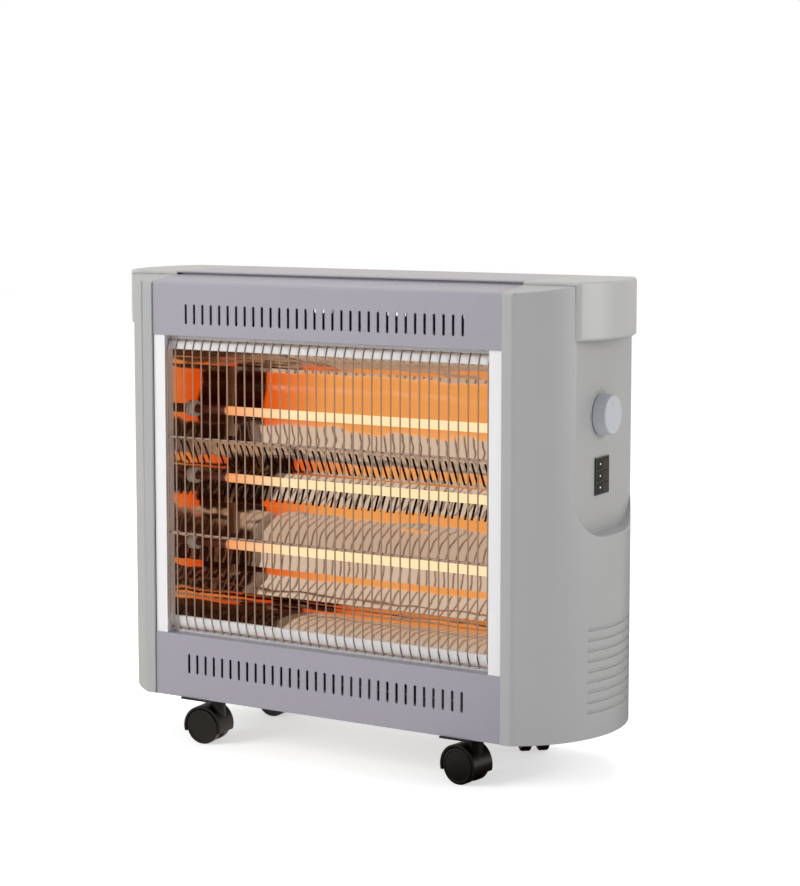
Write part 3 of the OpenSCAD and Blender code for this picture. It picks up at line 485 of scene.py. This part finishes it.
def casing_shell(side):
    """Side casing with soft moulded edges: broad round the top and the recess, fine on the right louvres."""
    piece = shaped_copy(f"{side}_side_casing", f"{side}_casing_shell")
    even_strips(piece, side, (BOW_R,))
    round_edges(piece, 2.0, 4, lambda p: p.z > high.z - 12 and on_bow(p))
    round_edges(piece, 1.6, 4, lambda p: RECESS_BOTTOM - 1 < p.z < RECESS_BOTTOM + RECESS_CORNER
                and abs(p.y) < RECESS_HALF and on_bow(p))
    if side == "right":
        round_edges(piece, 0.5, 2, lambda p: low.z + 5 < p.z < LOUVRE_TOP and on_bow(p))
    round_edges(piece, 0.9, 3, lambda p: abs(p.y) > high.y - CLOSE)
    smooth(piece)


def handle_cap_shell(side):
    """Handle cap with the rounding of a moulded grip: broad outside, fine along the top panel's seam."""
    piece = shaped_copy(f"{side}_handle_cap", f"{side}_grip_cap", flat=3)
    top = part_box(f"{side}_handle_cap")[1].z / MM
    even_strips(piece, side, (BOW_R + GRIP_OUT, BOW_R + GRIP_IN), 26)
    bpy.ops.object.mode_set(mode="EDIT")
    bpy.ops.mesh.select_mode(type="VERT")
    bpy.ops.mesh.select_all(action="DESELECT")
    mesh = bmesh.from_edit_mesh(piece.data)
    for vert in mesh.verts:
        vert.select_set(RECESS_X - 1 < abs(vert.co.x) / MM < RECESS_X + 0.8 and vert.co.z / MM < top - 4.5)
    bmesh.update_edit_mesh(piece.data)
    bpy.ops.transform.translate(value=(-WALL_REACH * MM if side == "right" else WALL_REACH * MM, 0, 0))
    bpy.ops.object.mode_set(mode="OBJECT")
    round_edges(piece, 3.3, 6, lambda p: off_axis(p) > BOW_R + GRIP_OUT - SKIN
                or (p.z > top - CLOSE and abs(p.x) > low.x + 1))
    round_edges(piece, 0.5, 2, lambda p: p.z > top - CLOSE and abs(p.x) < low.x + CLOSE)
    smooth(piece)


for side in ("left", "right"):
    casing_shell(side)
    handle_cap_shell(side)

folded_mirror = shaped_copy("reflector", "folded_reflector")
smooth(folded_mirror, 12)


# ---------- knob and switch marks ----------

# Height, width and length of the knob's pointer, then the bead's radius and its distance from the grip
POINTER = (0.7, 1.3, 8)
BEAD_R, BEAD_OUT = 0.6, 2.6


def extrude_ring(step, shrink, centre):
    """Draws the selected end of a turned piece out along X by a step in millimetres and scales it."""
    bpy.ops.mesh.extrude_region_move(TRANSFORM_OT_translate={"value": (step * MM, 0, 0)})
    bpy.ops.transform.resize(value=(1, shrink, shrink), center_override=centre)


def finish_piece(piece, name, finish, body):
    """Closes off a hand-made piece: place into its mesh, normals outwards, finish and body."""
    bpy.ops.mesh.select_all(action="SELECT")
    bpy.ops.mesh.normals_make_consistent(inside=False)
    bpy.ops.object.mode_set(mode="OBJECT")
    bpy.ops.object.transform_apply()
    piece.name = piece.data.name = name
    piece.data.materials.append(finish)
    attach(piece, body)


def knob_measures():
    """Both ends of the CAD knob in x, its middle in y and z, and its radius, in millimetres."""
    back, front = (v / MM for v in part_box("thermostat_knob"))
    return back.x, front.x, (back.y + front.y) / 2, (back.z + front.z) / 2, (front.y - back.y) / 2


def turned_knob():
    """Thermostat knob: a slightly tapered grip and a dished face with a low raised pointer."""
    back, front, y, z, radius = knob_measures()
    length = front - back
    centre = (0, y * MM, z * MM)
    # Corner of 2 mm radius, as distances from the back and from the axis
    corner = [(length - 2.3 + 2 * math.sin(a), radius - 3.2 + 2 * math.cos(a))
              for a in (0.0, 0.3, 0.6, 0.9, 1.2, 1.5)]
    outline = [(0.4, radius), *corner, (length - 0.3, radius - 4.2), (length - 0.8, radius - 5.0)]
    bpy.ops.object.select_all(action="DESELECT")
    bpy.ops.mesh.primitive_circle_add(vertices=96, radius=radius * MM, fill_type="NGON",
                                      location=(back * MM, y * MM, z * MM), rotation=(0, math.pi / 2, 0))
    knob = bpy.context.object
    bpy.ops.object.transform_apply()
    bpy.ops.object.mode_set(mode="EDIT")
    bpy.ops.mesh.select_all(action="SELECT")
    done = (0, radius)
    for here in outline:
        extrude_ring(here[0] - done[0], here[1] / done[1], centre)
        done = here
    bpy.ops.object.mode_set(mode="OBJECT")
    bpy.ops.mesh.primitive_cube_add(size=MM, location=((front - 0.75) * MM, y * MM, (z + radius - 11) * MM),
                                    scale=POINTER)
    bpy.ops.object.transform_apply()
    bpy.ops.object.mode_set(mode="EDIT")
    bpy.ops.mesh.bevel(offset=0.25 * MM, segments=2)
    bpy.ops.object.mode_set(mode="OBJECT")
    knob.select_set(True)
    bpy.context.view_layer.objects.active = knob
    bpy.ops.object.join()
    bpy.ops.object.mode_set(mode="EDIT")
    finish_piece(knob, "turned_knob", knob_plastic, "knob")
    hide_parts("thermostat_knob")
    smooth(knob, 40)


def knob_bezel():
    """Thin moulded bead on the recess floor round the knob."""
    _, _, y, z, radius = knob_measures()
    bpy.ops.object.select_all(action="DESELECT")
    bpy.ops.mesh.primitive_torus_add(
        major_segments=96, minor_segments=12, major_radius=(radius + BEAD_OUT) * MM, minor_radius=BEAD_R * MM,
        location=(RECESS_X * MM, y * MM, z * MM), rotation=(0, math.pi / 2, 0))
    bead = bpy.context.object
    bpy.ops.object.mode_set(mode="EDIT")
    finish_piece(bead, "knob_bead", cap_plastic, body_of["right_side_casing"])
    smooth(bead, 60)


def rocker_mark(body):
    """White dot printed on the pressed half of a rocker."""
    joints = frame["record"]["behaviour"]["joints"]
    pivot = Vector(next(joint["pos_m"] for joint in joints if joint["child"] == body)) / MM
    # Turn of the pressed half's face, and its middle seen from the pivot
    lean = math.radians(-11.2)
    face = Vector((2.75, -4.6, 0))
    bpy.ops.object.select_all(action="DESELECT")
    bpy.ops.mesh.primitive_cylinder_add(vertices=24, radius=1.0 * MM, depth=0.24 * MM,
                                        location=(pivot + face) * MM, rotation=(0, math.pi / 2, lean))
    dot = bpy.context.object
    bpy.ops.object.mode_set(mode="EDIT")
    bpy.ops.mesh.select_mode(type="EDGE")
    bpy.ops.mesh.select_all(action="SELECT")
    bpy.ops.mesh.bevel(offset=0.05 * MM, segments=2)
    finish_piece(dot, f"{body}_dot", mark_white, body)
    smooth(dot)


turned_knob()
knob_bezel()
for body in ("upper_rocker", "middle_rocker", "lower_rocker"):
    rocker_mark(body)
